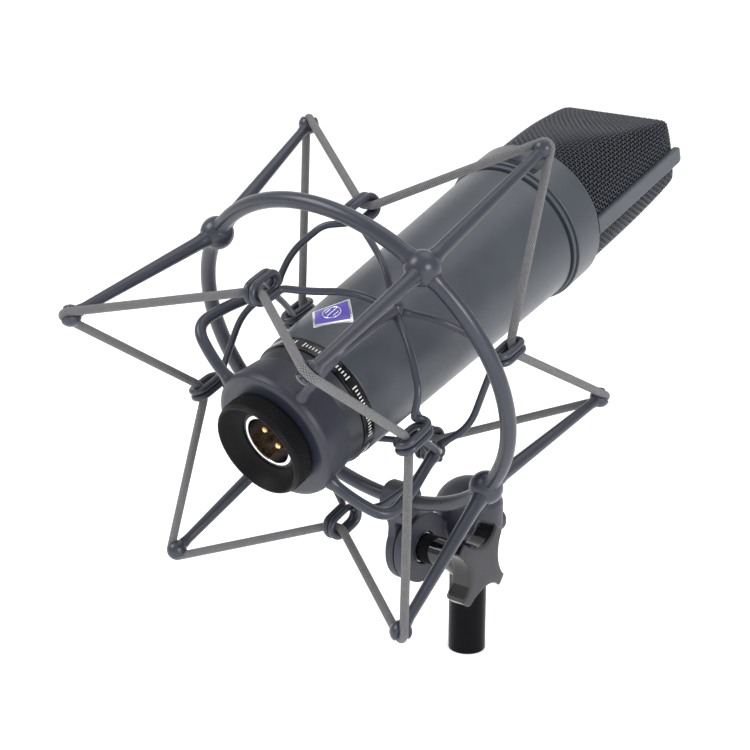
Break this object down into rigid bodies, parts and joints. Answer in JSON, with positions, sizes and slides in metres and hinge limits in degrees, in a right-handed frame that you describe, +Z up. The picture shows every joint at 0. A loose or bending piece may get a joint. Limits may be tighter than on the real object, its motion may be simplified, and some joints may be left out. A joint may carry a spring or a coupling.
{
  "type": "condenser microphone",
  "caption": "Side-address studio condenser microphone hung by zig-zag elastic cords in a ring-and-rod suspension, with a tilting stand head, a star clamp knob and a threaded lock ring.",
  "frame": {"origin": "centre of the threaded mouth at the stand tube's lower end", "axes": "+Z up along the stand tube's axis; X along the tilt hinge with the clamp knob at +X; the microphone's head points to +Y and up"},
  "size_m": [0.126, 0.2363, 0.1946],
  "materials": {
    "tube_black": "gloss black",
    "stand_casting": "satin slate grey paint",
    "bushing_brass": "machined",
    "screw_steel": "black oxide",
    "frame_paint": "satin blue-grey paint",
    "bolt_steel": "zinc plated",
    "knob_plastic": "moulded, matte with polished flutes",
    "elastic_cord": "woven sleeve over rubber",
    "cup_paint": "satin slate grey paint",
    "ring_black": "matt black, knurled rim",
    "body_dark": "satin dark grey",
    "band_black": "gloss black",
    "body_paint": "satin slate grey paint",
    "slider_black": "moulded",
    "badge_silver": "polished edge",
    "badge_violet": "enamel",
    "mesh_black": "woven wire, black",
    "mesh_inner": "fine woven wire",
    "capsule_brass": "lapped",
    "gold_film": "gold sputtered film",
    "inner_plastic": "moulded",
    "chassis_metal": "plain",
    "board_green": "solder mask",
    "parts_dark": "sleeved",
    "core_steel": "laminated",
    "shell_chrome": "bright",
    "insert_dark": "moulded",
    "pin_gold": "gold plated"
  },
  "bodies": {
    "stand": {"stand_tube": "tube_black", "tube_socket": "bushing_brass", "tube_stud": "bolt_steel", "stand_head": "stand_casting", "thread_bushing": "bushing_brass", "grub_screw": "screw_steel"},
    "frame": {"ring_lug": "stand_casting", "outer_ring": "frame_paint", "front_rods": "frame_paint", "rear_rods": "frame_paint", "hinge_bolt": "bolt_steel", "front_elastic": "elastic_cord", "rear_elastic": "elastic_cord"},
    "knob": {"clamp_washer": "bolt_steel", "knob_hub": "knob_plastic", "star_knob": "knob_plastic"},
    "lock": {"lock_ring": "ring_black"},
    "selector": {"pattern_slider": "slider_black"},
    "microphone": {"front_hook_wires": "frame_paint", "rear_hook_wires": "frame_paint", "weld_beads": "frame_paint", "cage_arms": "frame_paint", "base_cup": "cup_paint", "bell_housing": "body_dark", "id_band": "band_black", "body_tube": "body_paint", "lip_ring": "body_paint", "head_collar": "body_paint", "body_badge": "badge_silver", "badge_field": "badge_violet", "collar_badge": "badge_violet", "head_frame": "body_paint", "outer_grille": "mesh_black", "inner_mesh": "mesh_inner", "capsule_backplates": "capsule_brass", "capsule_rings": "capsule_brass", "capsule_diaphragms": "gold_film", "capsule_saddle": "inner_plastic", "chassis_rails": "chassis_metal", "chassis_decks": "chassis_metal", "circuit_board": "board_green", "board_parts": "parts_dark", "output_transformer": "core_steel", "chassis_screws": "screw_steel", "connector_shell": "shell_chrome", "connector_insert": "insert_dark", "contact_pins": "pin_gold"}
  },
  "joints": [
    {"name": "swivel_tilt", "type": "hinge", "parent": "stand", "child": "frame", "pos_m": [0, -0.024, 0.047], "axis": [1, 0, 0], "range_deg": [-30, 60]},
    {"name": "knob_turn", "type": "hinge", "parent": "frame", "child": "knob", "pos_m": [0.016, -0.024, 0.047], "axis": [1, 0, 0], "range_deg": [-270, 0]},
    {"name": "suspension_give", "type": "slide", "parent": "frame", "child": "microphone", "axis": [0.0213, 0.9356, 0.3525], "range_m": [-0.002, 0.002], "stiffness_N_per_m": 6000, "springref_m": 0.0005, "deforming": ["front_elastic", "rear_elastic"]},
    {"name": "lock_ring_turn", "type": "hinge", "parent": "microphone", "child": "lock", "pos_m": [-0.00628, -0.09928, 0.10389], "axis": [0.0213, 0.9356, 0.3525], "range_deg": [-180, 0]},
    {"name": "pattern_shift", "type": "hinge", "parent": "microphone", "child": "selector", "pos_m": [-0.00333, 0.03039, 0.15274], "axis": [0.0213, 0.9356, 0.3525], "range_deg": [-18, 18]}
  ]
}
